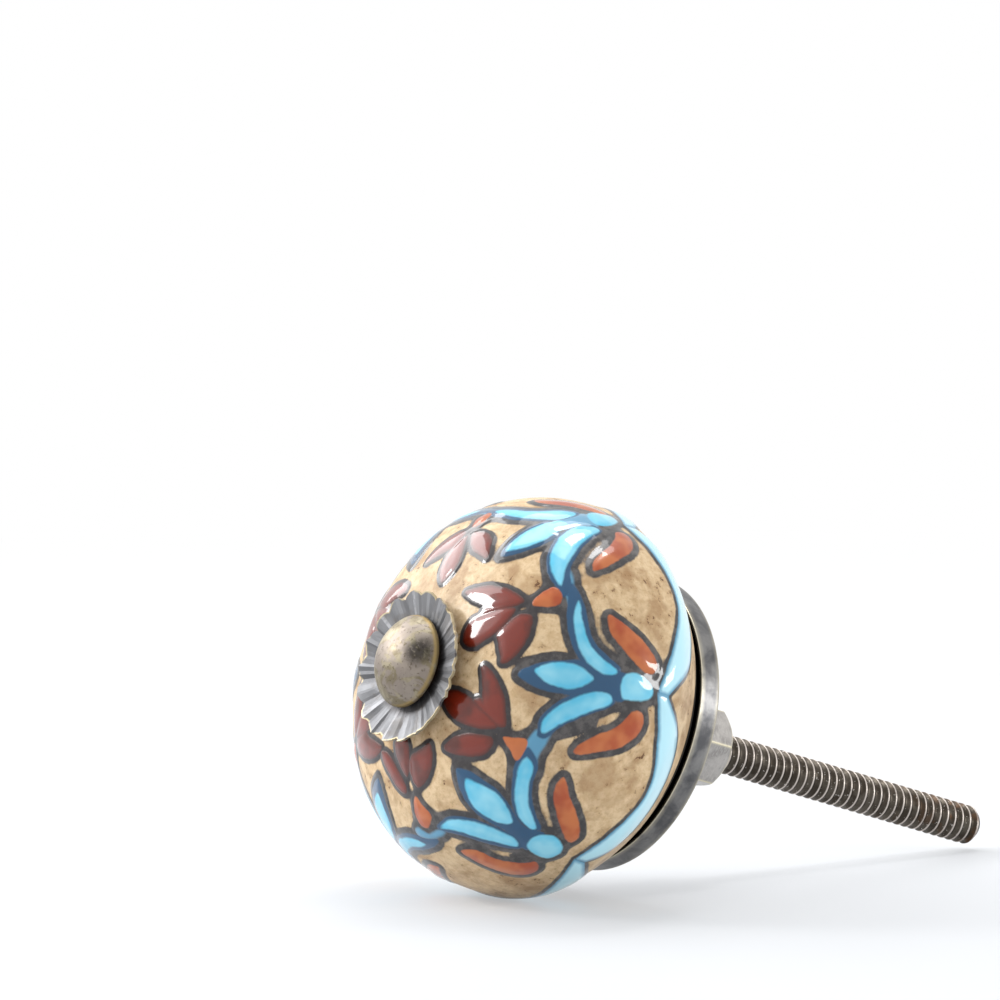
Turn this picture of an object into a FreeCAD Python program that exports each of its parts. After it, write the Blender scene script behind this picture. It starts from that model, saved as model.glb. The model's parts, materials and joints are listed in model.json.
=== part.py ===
import FreeCAD, Part
import math
import os

V = FreeCAD.Vector

# The knob lies along Y as it sits on a drawer front.
# The seating face of the back plate is at Y = 0, the stud points to +Y and the head to -Y.
# All sizes are in millimetres and degrees.

# ceramic knob, its outline is a chain of tangent arcs from the front pole to the foot
knob_radius = 20.0
equator_y = -10.5        # where the knob is widest
front_depth = 16.08      # from the widest place to the front pole
side_radius = 36.0       # arc down to the widest place
crown_turn = 18.3        # angle that the arc over the front turns through
shoulder_turn = 86.0     # and the angle at the end of the next arc, the shoulder
belt_radius = 4.0        # turn just behind the widest place
belt_turn = 32.0
back_radius = 25.0       # arc from there to the foot
front_flat_radius = 4.0  # flat round the bore, under the rosette
knob_bore_clearance = 0.55

# back plate, its rim stands round the foot of the knob
plate_rim_gap = 0.43
plate_height = 2.42
plate_wall = 0.38
plate_floor = 1.0
plate_bore_clearance = 0.25
plate_back_rounding = 0.3
plate_rim_rounding = 0.15
plate_corner_fillet = 0.6

# domed bolt
bolt_radius = 1.95       # over the thread
shank_radius = 1.75      # plain shank, and the flanks where the thread is in the nut
bolt_tip_y = 46.4
bolt_tip_chamfer = 0.7
dome_radius = 4.75
dome_rim_height = 0.9
dome_height = 3.3
dome_edge_rounding = 0.4

# rosette washer
rosette_pleats = 18
rosette_sheet = 0.45
rosette_dome_gap = 0.05  # between the dome and the first rise of the pleats
rosette_crest_radius = 7.7
rosette_root_radius = 7.05
rosette_bore_clearance = 0.15
rosette_lift = 0.75      # how far the rim stands in front of the flat middle
rosette_pleat_height = 0.38

# hex nut
nut_across_flats = 7.5
nut_length = 11.2
nut_chamfer = 0.55       # how far the rear corners are cut back
nut_turn = -11.0
thread_clearance = 0.03
thread_start_gap = 0.3   # from the nut's rear face to the free thread

# painted ornament, a lotus and a trefoil in each of six repeats
repeats = 6
first_lotus_angle = -11.0
slip_height = 0.14       # dark outline slip above the bare ceramic
glaze_height = 0.30      # coloured glaze above the bare ceramic
slip_border = 0.72       # dark border left round each field of glaze
vine_border = 0.4
lotus_place = 0.734      # where its middle is, as a share of the way from the pole to the widest place
trefoil_place = 0.3413

foot_y = -plate_floor
step = 360.0 / repeats
cutter_reach = 0.4 * knob_radius


def front_radii():
    # the crown and shoulder that lead from the pole to the widest place, from two sums along X and Y
    crown_sin, crown_cos = math.sin(math.radians(crown_turn)), math.cos(math.radians(crown_turn))
    end_sin, end_cos = math.sin(math.radians(shoulder_turn)), math.cos(math.radians(shoulder_turn))
    across = knob_radius - side_radius * (1 - end_sin)
    deep = front_depth - side_radius * end_cos
    shoulder_x, shoulder_y = end_sin - crown_sin, crown_cos - end_cos
    both = crown_sin * shoulder_y - (1 - crown_cos) * shoulder_x
    crown = (across * shoulder_y - deep * shoulder_x) / both
    shoulder = (crown_sin * deep - (1 - crown_cos) * across) / both
    return crown, shoulder


def knob_arcs():
    # each arc is its centre, its radius and the angle at which it ends, counted from +X to +Y
    crown_radius, shoulder_radius = front_radii()
    crown_end = math.radians(crown_turn - 90)
    shoulder_end = math.radians(shoulder_turn - 90)
    belt_end = math.radians(belt_turn)

    def toward(angle, distance):
        return V(math.cos(angle), math.sin(angle), 0) * distance

    crown = V(0, equator_y - front_depth + crown_radius, 0)
    shoulder = crown + toward(crown_end, crown_radius - shoulder_radius)
    side = V(knob_radius - side_radius, equator_y, 0)
    belt = V(knob_radius - belt_radius, equator_y, 0)
    back = belt - toward(belt_end, back_radius - belt_radius)
    return [
        (crown, crown_radius, crown_end),
        (shoulder, shoulder_radius, shoulder_end),
        (side, side_radius, 0.0),
        (belt, belt_radius, belt_end),
        (back, back_radius, math.asin((foot_y - back.y) / back_radius)),
    ]


def knob_outline(height):
    # the outline's edges, moved outwards by a height
    arcs = knob_arcs()
    start = math.asin(front_flat_radius / arcs[0][1]) - math.pi / 2
    edges = []
    for centre, radius, end in arcs:
        circle = Part.Circle(centre, V(0, 0, 1), radius + height)
        edges.append(Part.ArcOfCircle(circle, start, end).toShape())
        start = end
    return edges


def ends(edges):
    return edges[0].valueAt(edges[0].FirstParameter), edges[-1].valueAt(edges[-1].LastParameter)


def smooth_curve(points):
    curve = Part.BSplineCurve()
    curve.interpolate(points)
    return curve


def foot_radius(y):
    # how wide the back of the knob is at a height along the axis
    centre, radius, _ = knob_arcs()[-1]
    return centre.x + math.sqrt(radius ** 2 - (y - centre.y) ** 2)


seat_y = ends(knob_outline(0))[0].y - rosette_sheet


def revolved(edges):
    return Part.Face(Part.Wire(Part.sortEdges(edges)[0])).revolve(V(0, 0, 0), V(0, 1, 0), 360)


def line(a, b):
    return Part.LineSegment(a, b).toShape()


def polygon(points):
    return [line(V(*a, 0), V(*b, 0)) for a, b in zip(points, points[1:] + points[:1])]


def skin(low, high):
    # a shell of the knob's own form between two heights above its surface
    inner, outer = knob_outline(low), knob_outline(high)
    a, b = ends(inner)
    c, d = ends(outer)
    return revolved(inner + [line(b, d)] + outer + [line(c, a)])


def turned(shape, angle):
    # round the knob's axis, counted from +X towards -Z
    copy = shape.copy()
    copy.rotate(V(0, 0, 0), V(0, 1, 0), angle)
    return copy


def edges_at(shape, radius, y):
    found = []
    for edge in shape.Edges:
        box = edge.BoundBox
        if abs(box.YMin - y) < 1e-4 and abs(box.YMax - y) < 1e-4 and abs(box.XMax - radius) < 1e-3:
            found.append(edge)
    return found


def make_knob():
    outline = knob_outline(0)
    start, end = ends(outline)
    bore = bolt_radius + knob_bore_clearance
    bore_front, bore_back = V(bore, start.y, 0), V(bore, end.y, 0)
    return revolved(outline + [line(end, bore_back), line(bore_back, bore_front), line(bore_front, start)])


def make_plate():
    bore = bolt_radius + plate_bore_clearance
    inner = foot_radius(-plate_height) + plate_rim_gap
    outer = inner + plate_wall
    outline = [
        (bore, 0),
        (outer, 0),
        (outer, -plate_height),
        (inner, -plate_height),
        (inner, -plate_floor),
        (bore, -plate_floor),
    ]
    plate = revolved(polygon(outline))
    rim = edges_at(plate, outer, -plate_height) + edges_at(plate, inner, -plate_height)
    plate = plate.makeFillet(plate_rim_rounding, rim)
    plate = plate.makeFillet(plate_back_rounding, edges_at(plate, outer, 0))
    return plate.makeFillet(plate_corner_fillet, edges_at(plate, inner, -plate_floor))


def make_bolt():
    rim_y = seat_y - dome_rim_height
    peak = V(0, seat_y - dome_height, 0)
    rim = V(dome_radius, rim_y, 0)
    # the cap is one arc, square to the axis at its peak
    rise = rim_y - peak.y
    sphere = (dome_radius ** 2 + rise ** 2) / (2 * rise)
    half_way = math.asin(dome_radius / sphere) / 2
    middle = V(sphere * math.sin(half_way), peak.y + sphere * (1 - math.cos(half_way)), 0)
    thread_start = nut_length + thread_start_gap
    shank = [
        V(dome_radius, seat_y, 0),
        V(shank_radius, seat_y, 0),
        V(shank_radius, thread_start, 0),
        V(bolt_radius, thread_start, 0),
        V(bolt_radius, bolt_tip_y - bolt_tip_chamfer, 0),
        V(bolt_radius - bolt_tip_chamfer, bolt_tip_y, 0),
        V(0, bolt_tip_y, 0),
    ]
    corners = [rim] + shank + [peak]
    edges = [Part.Arc(peak, middle, rim).toShape()]
    edges += [line(a, b) for a, b in zip(corners, corners[1:])]
    bolt = revolved(edges)
    return bolt.makeFillet(dome_edge_rounding, edges_at(bolt, dome_radius, rim_y))


def make_nut():
    flat = nut_across_flats / 2
    corner = nut_across_flats / math.sqrt(3)
    turns = [math.radians(60 * k) for k in range(7)]
    hexagon = Part.makePolygon([V(corner * math.cos(turn), 0, corner * math.sin(turn)) for turn in turns])
    prism = Part.Face(hexagon).extrude(V(0, nut_length, 0))
    # a shallow cone turns the rear corners into the usual arcs
    cone = [(0, 0), (corner, 0), (corner, nut_length - nut_chamfer), (flat, nut_length), (0, nut_length)]
    bore = Part.makeCylinder(shank_radius + thread_clearance, nut_length, V(0, 0, 0), V(0, 1, 0))
    return turned(prism.common(revolved(polygon(cone))).cut(bore), nut_turn)


def make_rosette():
    half = 180.0 / rosette_pleats
    count = 2 * rosette_pleats
    flat = dome_radius + rosette_dome_gap

    def ring(index):
        # crests lie forward and reach further out than the roots between them
        angle = math.radians(half * index)
        crest = index % 2 == 0
        r = rosette_crest_radius if crest else rosette_root_radius
        y = seat_y - rosette_lift + (-rosette_pleat_height if crest else rosette_pleat_height)
        inner = V(flat * math.cos(angle), seat_y, flat * math.sin(angle))
        return inner, V(r * math.cos(angle), y, r * math.sin(angle))

    front = [ring(i) for i in range(count + 1)]
    down = V(0, rosette_sheet, 0)
    faces = []
    for (in_a, out_a), (in_b, out_b) in zip(front, front[1:]):
        for shift in (V(0, 0, 0), down):
            faces.append(Part.makeRuledSurface(line(in_a + shift, out_a + shift), line(in_b + shift, out_b + shift)))
        faces.append(Part.Face(Part.makePolygon([out_a, out_b, out_b + down, out_a + down, out_a])))
    for shift in (V(0, 0, 0), down):
        rim = Part.makePolygon([p + shift for p, _ in front])
        faces.append(Part.Face(rim))
    sheet = Part.makeSolid(Part.makeShell(faces))
    if sheet.Volume < 0:
        sheet.reverse()
    bore = Part.makeCylinder(bolt_radius + rosette_bore_clearance, rosette_sheet, V(0, seat_y, 0), V(0, 1, 0))
    return sheet.cut(bore)


def leaf(base, tip, left, right):
    # a closed outline of two Bezier sides, drawn on a plane with the pole upwards
    # left and right are how far the two handles of each side stand to the left of the base-tip line
    # all of it in shares of the knob's radius, so that the ornament fits a knob of any size
    a, b = V(*base, 0) * knob_radius, V(*tip, 0) * knob_radius
    along = b - a
    across = V(-along.y, along.x, 0).normalize() * knob_radius
    sides = []
    for low, high in (left, right):
        curve = Part.BezierCurve()
        curve.setPoles([a, a + along * 0.12 + across * low, a + along * 0.72 + across * high, b])
        sides.append(curve.toShape())
    return Part.Wire([sides[0], sides[1]])


def mirrored(outline):
    return outline.mirror(V(0, 0, 0), V(1, 0, 0))


petal_middle = leaf((0, 0.045), (0, 0.335), (0.095, 0.0875), (-0.095, -0.0875))
petal_side = leaf((0.055, -0.065), (0.345, 0.205), (0.115, 0.1), (-0.025, 0.025))
calyx = leaf((0, -0.25), (0, -0.095), (0.1, 0.0875), (-0.1, -0.0875))
lotus_leaf = leaf((0.11, -0.25), (0.35, 0.045), (0.075, 0.045), (-0.08, -0.065))
lobe_middle = leaf((0, -0.19), (-0.015, 0.18), (0.035, 0.125), (-0.035, -0.125))
lobe_side = leaf((0.025, -0.185), (0.22, 0.045), (0.04, 0.06), (-0.09, -0.095))
flower_cup = leaf((0, -0.35), (0, -0.225), (0.075, 0.03), (-0.075, -0.03))

blue_outlines = [petal_middle, petal_side, mirrored(petal_side), calyx]
leaf_outlines = [lotus_leaf, mirrored(lotus_leaf)]
lobe_outlines = [lobe_middle, lobe_side, mirrored(lobe_side)]


def surface_frame(place):
    # a plane on the knob's surface at +X, its x runs round the knob, y to the pole and z outwards
    # place is a share of the way along the surface from the pole to the widest place
    start = -math.pi / 2
    front = []
    for centre, radius, end in knob_arcs()[:3]:
        front.append((centre, radius, start, end))
        start = end
    way = place * sum(radius * (end - start) for _, radius, start, end in front)
    for centre, radius, start, end in front:
        if way <= radius * (end - start):
            break
        way -= radius * (end - start)
    angle = start + way / radius
    out = V(math.cos(angle), math.sin(angle), 0)
    up = V(out.y, -out.x, 0)
    side = V(0, 0, 1)
    return FreeCAD.Placement(centre + out * radius, FreeCAD.Rotation(side, up, out, "ZXY"))


def placed(prism, place, angle):
    prism.Placement = surface_frame(place).multiply(prism.Placement)
    return turned(prism, angle)


def prisms(outlines, border=0.0):
    # straight prisms deep enough to cross the skin, one for each outline
    result = []
    for outline in outlines:
        face = Part.Face(outline)
        if border:
            face = face.makeOffset2D(border)
        face.translate(V(0, 0, -cutter_reach))
        result.append(face.extrude(V(0, 0, 1.5 * cutter_reach)))
    return result


def cutters(outlines, place, angle):
    return [placed(prism, place, angle) for prism in prisms(outlines)]


def border_cutter(outlines, place, angle):
    # the outlines with a border round them, joined where the borders meet
    bordered = prisms(outlines, slip_border)
    return placed(bordered[0].multiFuse(bordered[1:]).removeSplitter(), place, angle)


def vine_outline(border=0.0):
    # one swag of the vine, seen along the radius through its middle, cusp to cusp
    # in shares of the knob's radius, from the widest place towards the drawer
    upper = [(-0.5, -0.0625), (-0.26, 0.005), (0, 0.065), (0.26, 0.005), (0.5, -0.0625)]
    lower = [(0.5, 0.015), (0.31, 0.16), (0.15, 0.21), (0, 0.225), (-0.15, 0.21), (-0.31, 0.16), (-0.5, 0.015)]
    sides = []
    for points, shift in ((upper, -border), (lower, border)):
        places = [V(x * knob_radius, equator_y + y * knob_radius + shift, 0) for x, y in points]
        sides.append(smooth_curve(places).toShape())
    top, bottom = [[vertex.Point for vertex in side.Vertexes] for side in sides]
    return Part.Wire([sides[0], line(top[1], bottom[0]), sides[1], line(bottom[1], top[0])])


def vine_cutter(angle, border=0.0):
    face = Part.Face(vine_outline(border))
    face.rotate(V(0, 0, 0), V(0, 1, 0), 90)
    face.translate(V(knob_radius - cutter_reach, 0, 0))
    return turned(face.extrude(V(1.5 * cutter_reach, 0, 0)), angle)


def repeated(shapes):
    copies = [turned(shape, step * k) for shape in shapes for k in range(repeats)]
    return Part.makeCompound(copies)


def make_glazes():
    glaze = skin(slip_height, glaze_height)
    lotus = first_lotus_angle
    trefoil = lotus + step / 2
    blue = [glaze.common(cutter) for cutter in cutters(blue_outlines, lotus_place, lotus)]
    leaves = cutters(leaf_outlines, lotus_place, lotus) + cutters([flower_cup], trefoil_place, trefoil)
    orange = [glaze.common(cutter) for cutter in leaves]
    rust = glaze.common(cutters(lobe_outlines, trefoil_place, trefoil))
    vine = [glaze.common(vine_cutter(trefoil + step * k)) for k in range(repeats)]
    vine_ring = vine[0].multiFuse(vine[1:])
    return Part.makeCompound([repeated(blue), vine_ring]), repeated([rust]), repeated(orange)


def make_slip():
    # one repeat of the slip, ending against the next lotus on one side and the last vine on the other
    lotus = border_cutter(blue_outlines + leaf_outlines, lotus_place, first_lotus_angle)
    middle = first_lotus_angle + step / 2
    trefoil = border_cutter(lobe_outlines + [flower_cup], trefoil_place, middle)
    vine = vine_cutter(middle, vine_border)
    slip = skin(0, slip_height).common([lotus, trefoil, vine])
    pieces = slip.cut([turned(lotus, step), turned(vine, -step)]).Solids
    return repeated(pieces[0].multiFuse(pieces[1:]).removeSplitter().Solids)


if __name__ == "__main__":
    os.makedirs("parts", exist_ok=True)
    turquoise, rust, orange = make_glazes()
    nodes = {
        "ceramic_knob": make_knob(),
        "back_plate": make_plate(),
        "domed_bolt": make_bolt(),
        "rosette_washer": make_rosette(),
        "hex_nut": make_nut(),
        "outline_slip": make_slip(),
        "turquoise_glaze": turquoise,
        "rust_glaze": rust,
        "orange_glaze": orange,
    }
    for name, shape in nodes.items():
        shape.exportStep("parts/" + name + ".step")
        print(name, len(shape.Solids), "solids", round(shape.Volume, 2), "mm3", "valid", shape.isValid())
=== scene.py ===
import json
import math

import bpy
import numpy as np
from mathutils import Euler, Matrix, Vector

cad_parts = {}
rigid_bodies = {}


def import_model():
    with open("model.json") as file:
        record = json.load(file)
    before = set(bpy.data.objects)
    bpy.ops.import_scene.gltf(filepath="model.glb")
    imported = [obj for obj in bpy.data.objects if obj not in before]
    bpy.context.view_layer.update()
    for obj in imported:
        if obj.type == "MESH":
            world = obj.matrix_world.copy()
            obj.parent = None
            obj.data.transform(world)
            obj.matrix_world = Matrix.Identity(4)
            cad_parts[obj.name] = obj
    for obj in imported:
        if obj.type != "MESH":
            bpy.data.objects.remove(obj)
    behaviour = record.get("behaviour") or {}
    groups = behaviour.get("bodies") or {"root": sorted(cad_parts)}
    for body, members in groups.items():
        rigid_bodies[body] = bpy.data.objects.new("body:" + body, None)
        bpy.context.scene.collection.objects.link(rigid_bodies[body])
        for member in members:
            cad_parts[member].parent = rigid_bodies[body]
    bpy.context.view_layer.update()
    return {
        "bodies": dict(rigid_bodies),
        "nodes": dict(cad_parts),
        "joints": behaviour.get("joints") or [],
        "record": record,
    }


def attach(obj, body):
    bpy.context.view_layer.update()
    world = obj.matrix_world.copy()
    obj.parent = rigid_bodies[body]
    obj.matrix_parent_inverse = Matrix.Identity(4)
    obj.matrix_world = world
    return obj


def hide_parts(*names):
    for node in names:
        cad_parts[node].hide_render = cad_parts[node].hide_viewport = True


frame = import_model()
scene = bpy.context.scene
mm = 0.001
randomNumbers = np.random.default_rng(11)
print("frame loaded")

# the knob lies along Y: its head towards -Y, the stud towards +Y and the seating face at 0

# the ceramic knob in millimetres and degrees, its outline is the chain of arcs that the CAD model has
ceramic = {
    "radius": 20.0,
    "widestAt": -10.5,
    "frontDepth": 16.08,
    "sideArc": 36.0,
    "crownTurn": 18.3,
    "shoulderTurn": 86.0,
    "beltArc": 4.0,
    "beltTurn": 32.0,
    "backArc": 25.0,
    "frontFlat": 4.0,
    "footAt": -1.0,
    "bore": 2.5,
    "sides": 640,
    "rings": 140,
    # how far slip and glaze stand out, and from where to where across their edge they rise
    "slipHeight": 0.11,
    "glazeHeight": 0.09,
    "slipRise": (0.15, -0.45),
    "glazeRise": (0.1, -0.9),
    # the border of slip round the strokes, and how close two borders are when they run together
    "slipWidth": 0.66,
    "rustSlipLess": 0.17,
    "vineSlipWidth": 0.36,
    "orangeBlend": 0.9,
    "rustBlend": 0.6,
    "vineBlend": 0.5,
    # where the middle of each motif is, as a share of the way from the pole to the widest place
    "lotusPlace": 0.734,
    "trefoilPlace": 0.3413,
    # a distance at which no paint is near
    "farOff": 6.0,
}


def outlineArcs():
    # centre across and along the axis, radius, and the angle of its outward normal at both ends
    crownAngle = math.radians(ceramic["crownTurn"])
    crownSin, crownCos = math.sin(crownAngle), math.cos(crownAngle)
    endAngle = math.radians(ceramic["shoulderTurn"])
    endSin, endCos = math.sin(endAngle), math.cos(endAngle)
    across = ceramic["radius"] - ceramic["sideArc"] * (1 - endSin)
    deep = ceramic["frontDepth"] - ceramic["sideArc"] * endCos
    shoulderX, shoulderY = endSin - crownSin, crownCos - endCos
    both = crownSin * shoulderY - (1 - crownCos) * shoulderX
    crown = (across * shoulderY - deep * shoulderX) / both
    shoulder = (crownSin * deep - (1 - crownCos) * across) / both
    crownEnd = math.radians(ceramic["crownTurn"] - 90)
    shoulderEnd = math.radians(ceramic["shoulderTurn"] - 90)
    beltEnd = math.radians(ceramic["beltTurn"])
    crownY = ceramic["widestAt"] - ceramic["frontDepth"] + crown
    shoulderAt = (math.cos(crownEnd) * (crown - shoulder), crownY + math.sin(crownEnd) * (crown - shoulder))
    beltX = ceramic["radius"] - ceramic["beltArc"]
    backX = beltX - math.cos(beltEnd) * (ceramic["backArc"] - ceramic["beltArc"])
    backY = ceramic["widestAt"] - math.sin(beltEnd) * (ceramic["backArc"] - ceramic["beltArc"])
    footEnd = math.asin((ceramic["footAt"] - backY) / ceramic["backArc"])
    return [
        (0.0, crownY, crown, -math.pi / 2, crownEnd),
        (shoulderAt[0], shoulderAt[1], shoulder, crownEnd, shoulderEnd),
        (ceramic["radius"] - ceramic["sideArc"], ceramic["widestAt"], ceramic["sideArc"], shoulderEnd, 0.0),
        (beltX, ceramic["widestAt"], ceramic["beltArc"], 0.0, beltEnd),
        (backX, backY, ceramic["backArc"], beltEnd, footEnd),
    ]


arcs = outlineArcs()
wayToWidest = sum(radius * (end - start) for _, _, radius, start, end in arcs[:3])
wayToFoot = sum(radius * (end - start) for _, _, radius, start, end in arcs)
wayToFlat = math.asin(ceramic["frontFlat"] / arcs[0][2]) * arcs[0][2]


def outlineAt(way):
    # radius, height along the axis and angle of the normal, at a way along the outline from the pole
    way = np.asarray(way, float)
    across, along, tilt = np.zeros(way.shape), np.zeros(way.shape), np.zeros(way.shape)
    begin = 0.0
    for centreX, centreY, radius, start, end in arcs:
        here = way >= begin
        angle = start + (way - begin) / radius
        across = np.where(here, centreX + radius * np.cos(angle), across)
        along = np.where(here, centreY + radius * np.sin(angle), along)
        tilt = np.where(here, angle, tilt)
        begin += radius * (end - start)
    return across, along, tilt


def surfacePoints(way, turn):
    across, along, tilt = outlineAt(way)
    points = np.stack([across * np.cos(turn), along, -across * np.sin(turn)], -1)
    normals = np.stack([np.cos(tilt) * np.cos(turn), np.sin(tilt), -np.cos(tilt) * np.sin(turn)], -1)
    return points, normals


def motifFrame(place, turnDegrees):
    # origin on the surface, then its x, y and outward directions
    turn = math.radians(turnDegrees)
    origin, out = surfacePoints(place * wayToWidest, turn)
    side = np.array([math.sin(turn), 0.0, math.cos(turn)])
    return origin, side, np.cross(out, side), out


def catmullRom(before, here, after, later, share):
    # the place between two points that the curve through all four has
    linear, square = after - before, 2 * before - 5 * here + 4 * after - later
    return 0.5 * (2 * here + linear * share + square * share ** 2
                  + (3 * here - before - 3 * after + later) * share ** 3)


def smoothLoop(points, steps=6):
    # a closed curve through points
    here = np.array(points, float)
    around = [np.roll(here, shift, 0) for shift in (1, 0, -1, -2)]
    return np.stack([catmullRom(*around, share) for share in np.arange(steps) / steps], 1).reshape(-1, 2)


def smoothLine(points, steps=16):
    # an open curve through points
    points = np.array(points, float)
    padded = np.concatenate([[2 * points[0] - points[1]], points, [2 * points[-1] - points[-2]]])
    share = np.linspace(0, 1, steps, endpoint=False)[:, None]
    parts = [catmullRom(*four, share) for four in zip(padded, padded[1:], padded[2:], padded[3:])]
    return np.concatenate(parts + [points[-1:]])


def signedDistance(polygon, points):
    # millimetres to a closed polygon on its plane, negative inside
    tiny = 1e-12
    nearest = np.full(len(points), np.inf)
    inside = np.zeros(len(points), bool)
    for a, b in zip(polygon, np.roll(polygon, -1, axis=0)):
        edge = b - a
        offset = points - a
        share = np.clip(offset @ edge / (edge @ edge + tiny), 0, 1)
        nearest = np.minimum(nearest, ((offset - share[:, None] * edge) ** 2).sum(1))
        crosses = (points[:, 1] < a[1]) != (points[:, 1] < b[1])
        rise = edge[1] if abs(edge[1]) > tiny else tiny
        inside ^= crosses & (points[:, 0] < a[0] + (points[:, 1] - a[1]) * edge[0] / rise)
    return np.sqrt(nearest) * np.where(inside, -1, 1)


def mirrored(loop):
    return [(-x, y) for x, y in loop]


# brush strokes in millimetres about the middle of their motif, x to its right and y towards the pole:
# light, deep and middle are the three blues, orange and rust are fields, dark is slip that fills a gap
sidePetal = [
    (0.8, -0.6), (0.9, 0.5), (1.6, 1.8), (2.9, 2.9), (4.5, 3.7), (6.0, 4.0), (7.2, 3.8), (6.1, 3.0),
    (4.7, 2.5), (3.5, 1.7), (2.5, 0.6), (1.9, -0.7), (1.3, -1.4),
]
sideEdge = [
    (0.7, -0.9), (0.8, 0.8), (1.5, 2.1), (2.8, 3.3), (4.4, 4.15), (6.0, 4.55), (7.6, 4.6), (9.0, 4.7),
    (8.4, 3.8), (7.4, 3.3), (6.2, 2.6), (4.8, 2.1), (3.6, 1.3), (2.7, 0.2), (2.1, -1.0), (1.4, -1.8),
]
sideLeaf = [
    (7.0, 0.4), (6.0, 0.4), (4.9, -0.3), (3.8, -1.5), (2.7, -2.9), (1.8, -4.3), (2.0, -5.1), (2.9, -5.1),
    (4.2, -4.2), (5.3, -2.7), (6.2, -1.1), (6.8, -0.1),
]
plainLotus = {
    "light": [
        [(0, 6.7), (-1.0, 5.6), (-1.5, 4.1), (-1.2, 2.6), (-0.5, 1.2), (0.5, 1.2), (1.2, 2.6), (1.5, 4.1),
         (1.0, 5.6)],
        [(-1.3, -2.1), (-0.5, -1.7), (0.5, -1.7), (1.3, -2.2), (1.5, -3.3), (1.1, -4.4), (0.3, -5.0),
         (-0.5, -5.0), (-1.2, -4.2), (-1.4, -3.2)],
        sidePetal,
        mirrored(sidePetal),
    ],
    "deep": [
        [(0, 8.1), (-1.3, 6.6), (-1.9, 4.9), (-1.8, 2.9), (-1.2, 1.4), (-1.1, 0), (-1.4, -1.2),
         (-1.2, -2.4), (1.2, -2.4), (1.4, -1.2), (1.1, 0), (1.2, 1.4), (1.8, 2.9), (1.9, 4.9), (1.3, 6.6)],
        sideEdge,
        mirrored(sideEdge),
    ],
    "orange": [sideLeaf, mirrored(sideLeaf)],
}

# the lotuses that the photo shows best were each painted a little differently
lotusSide = {
    "light": [
        [(-0.3, 6.1), (-1.1, 5.1), (-1.6, 3.4), (-1.3, 2.0), (-0.5, 0.8), (0.1, 0.6), (0.8, 1.8),
         (1.1, 3.2), (0.8, 4.7), (0.2, 5.8)],
        [(-1.4, -2.6), (-0.5, -2.2), (0.6, -2.3), (1.2, -2.8), (1.4, -3.7), (1.0, -4.8), (0.3, -5.7),
         (-0.5, -5.7), (-1.1, -4.8), (-1.4, -3.6)],
        [(0.5, -0.6), (0.8, 0.4), (1.5, 1.5), (2.8, 2.5), (4.5, 3.1), (6.0, 3.3), (7.6, 2.9), (6.0, 2.5),
         (4.5, 2.0), (3.2, 1.3), (2.2, 0.2), (1.7, -0.9), (1.2, -1.7), (0.7, -1.5)],
        [(-6.0, 4.5), (-5.0, 4.6), (-4.0, 4.0), (-2.8, 2.9), (-1.7, 1.2), (-1.2, -0.3), (-1.3, -1.4),
         (-1.9, -1.7), (-2.6, -1.0), (-3.3, 0.3), (-4.2, 1.7), (-5.2, 3.0), (-6.0, 3.9)],
    ],
    "deep": [
        [(-0.9, 7.4), (-1.8, 5.8), (-2.1, 3.6), (-1.9, 2.0), (-1.3, 0.6), (-1.2, -0.8), (-1.8, -2.1),
         (-1.3, -3.0), (0.9, -2.8), (1.1, -1.8), (0.8, -0.2), (1.5, 1.9), (1.2, 3.6), (0.8, 5.2),
         (0.2, 6.6), (-0.3, 7.3)],
        [(0.4, -1.4), (0.5, 0.2), (1.3, 1.9), (2.7, 3.0), (4.4, 3.7), (6.3, 4.0), (8.0, 4.0), (9.2, 4.1),
         (8.6, 3.1), (6.4, 2.1), (4.7, 1.6), (3.5, 0.9), (2.6, -0.1), (2.0, -1.3), (1.3, -2.0)],
        [(-6.4, 4.7), (-5.0, 4.9), (-3.8, 4.25), (-2.5, 3.1), (-1.4, 1.4), (-1.0, -0.3), (-1.1, -1.5),
         (-1.9, -1.95), (-2.75, -1.1), (-3.45, 0.2), (-4.35, 1.6), (-5.4, 2.9), (-6.4, 3.8)],
    ],
    "middle": [
        [(-5.9, 4.4), (-6.6, 4.7), (-7.5, 5.3), (-8.8, 5.8), (-9.4, 5.1), (-8.9, 4.3), (-7.8, 4.0),
         (-6.6, 3.7)],
    ],
    "orange": [
        [(6.6, -0.2), (5.6, -0.1), (4.5, -0.7), (3.4, -2.0), (2.5, -3.2), (1.7, -4.5), (1.8, -5.5),
         (2.8, -5.7), (4.0, -4.8), (5.2, -3.2), (6.1, -1.4)],
        [(-7.4, 0.9), (-6.6, 0.7), (-5.6, -0.4), (-4.8, -1.8), (-3.8, -3.0), (-2.4, -3.9), (-2.3, -5.0),
         (-3.3, -5.3), (-4.6, -4.9), (-5.8, -3.7), (-6.6, -2.0), (-7.3, -0.2)],
    ],
    "dark": [
        [(-6.7, 3.3), (-5.3, 2.9), (-4.0, 1.0), (-3.0, -0.8), (-2.0, -2.2), (-2.5, -3.2), (-3.0, -1.9),
         (-3.8, -0.8), (-4.8, -0.6), (-5.6, 0.6), (-6.2, 1.9)],
        [(0.3, 8.2), (0.9, 7.6), (1.7, 5.6), (2.1, 3.9), (1.8, 2.6), (0.8, 4.8), (0.0, 7.0)],
    ],
}
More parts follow.
